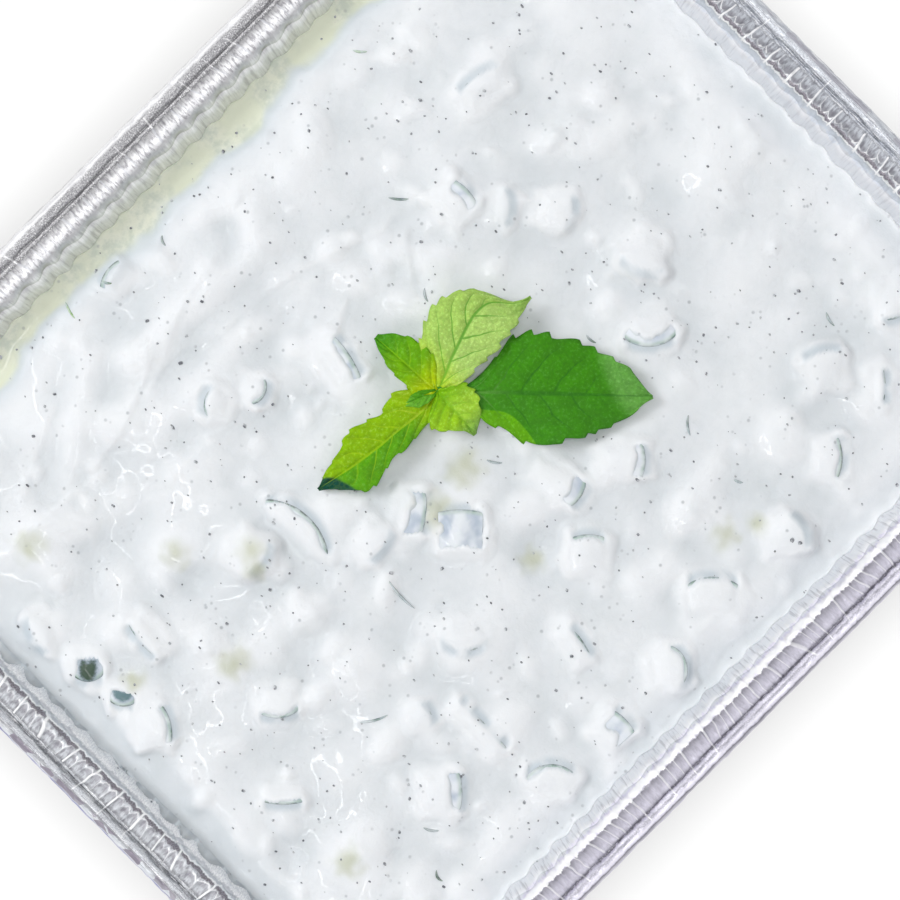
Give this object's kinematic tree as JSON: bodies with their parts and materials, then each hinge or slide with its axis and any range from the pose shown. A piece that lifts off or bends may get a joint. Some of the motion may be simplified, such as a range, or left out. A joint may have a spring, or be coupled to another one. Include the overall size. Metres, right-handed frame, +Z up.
{
  "type": "tzatziki dip",
  "caption": "Thick white yoghurt dip with diced cucumber and pepper specks, filling a rectangular crimped foil catering tray, with a sprig of mint on top.",
  "frame": {"origin": "middle of the tray's flat underside", "axes": "+X along the tray's long side, +Y along its short side, +Z up out of the dip"},
  "size_m": [0.32, 0.265, 0.065],
  "materials": {
    "foil": "bright crimped foil",
    "dip": null,
    "cucumber": null,
    "mint": null
  },
  "bodies": {
    "root": {"foil_tray": "foil", "tzatziki": "dip", "cucumber_01": "cucumber", "cucumber_02": "cucumber", "cucumber_03": "cucumber", "cucumber_04": "cucumber", "cucumber_05": "cucumber", "cucumber_06": "cucumber", "cucumber_07": "cucumber", "cucumber_08": "cucumber", "cucumber_09": "cucumber", "cucumber_10": "cucumber", "cucumber_11": "cucumber", "cucumber_12": "cucumber", "cucumber_13": "cucumber", "cucumber_14": "cucumber", "cucumber_15": "cucumber", "cucumber_16": "cucumber", "cucumber_17": "cucumber", "cucumber_18": "cucumber", "cucumber_19": "cucumber", "cucumber_20": "cucumber", "cucumber_21": "cucumber", "cucumber_22": "cucumber", "cucumber_23": "cucumber", "cucumber_24": "cucumber", "cucumber_25": "cucumber", "cucumber_26": "cucumber", "cucumber_27": "cucumber", "cucumber_28": "cucumber", "cucumber_29": "cucumber", "cucumber_30": "cucumber", "cucumber_31": "cucumber", "cucumber_32": "cucumber", "cucumber_33": "cucumber", "cucumber_34": "cucumber", "cucumber_35": "cucumber", "cucumber_36": "cucumber", "cucumber_37": "cucumber", "cucumber_38": "cucumber", "cucumber_39": "cucumber", "cucumber_40": "cucumber", "cucumber_41": "cucumber", "cucumber_42": "cucumber", "mint_sprig": "mint"}
  },
  "joints": []
}
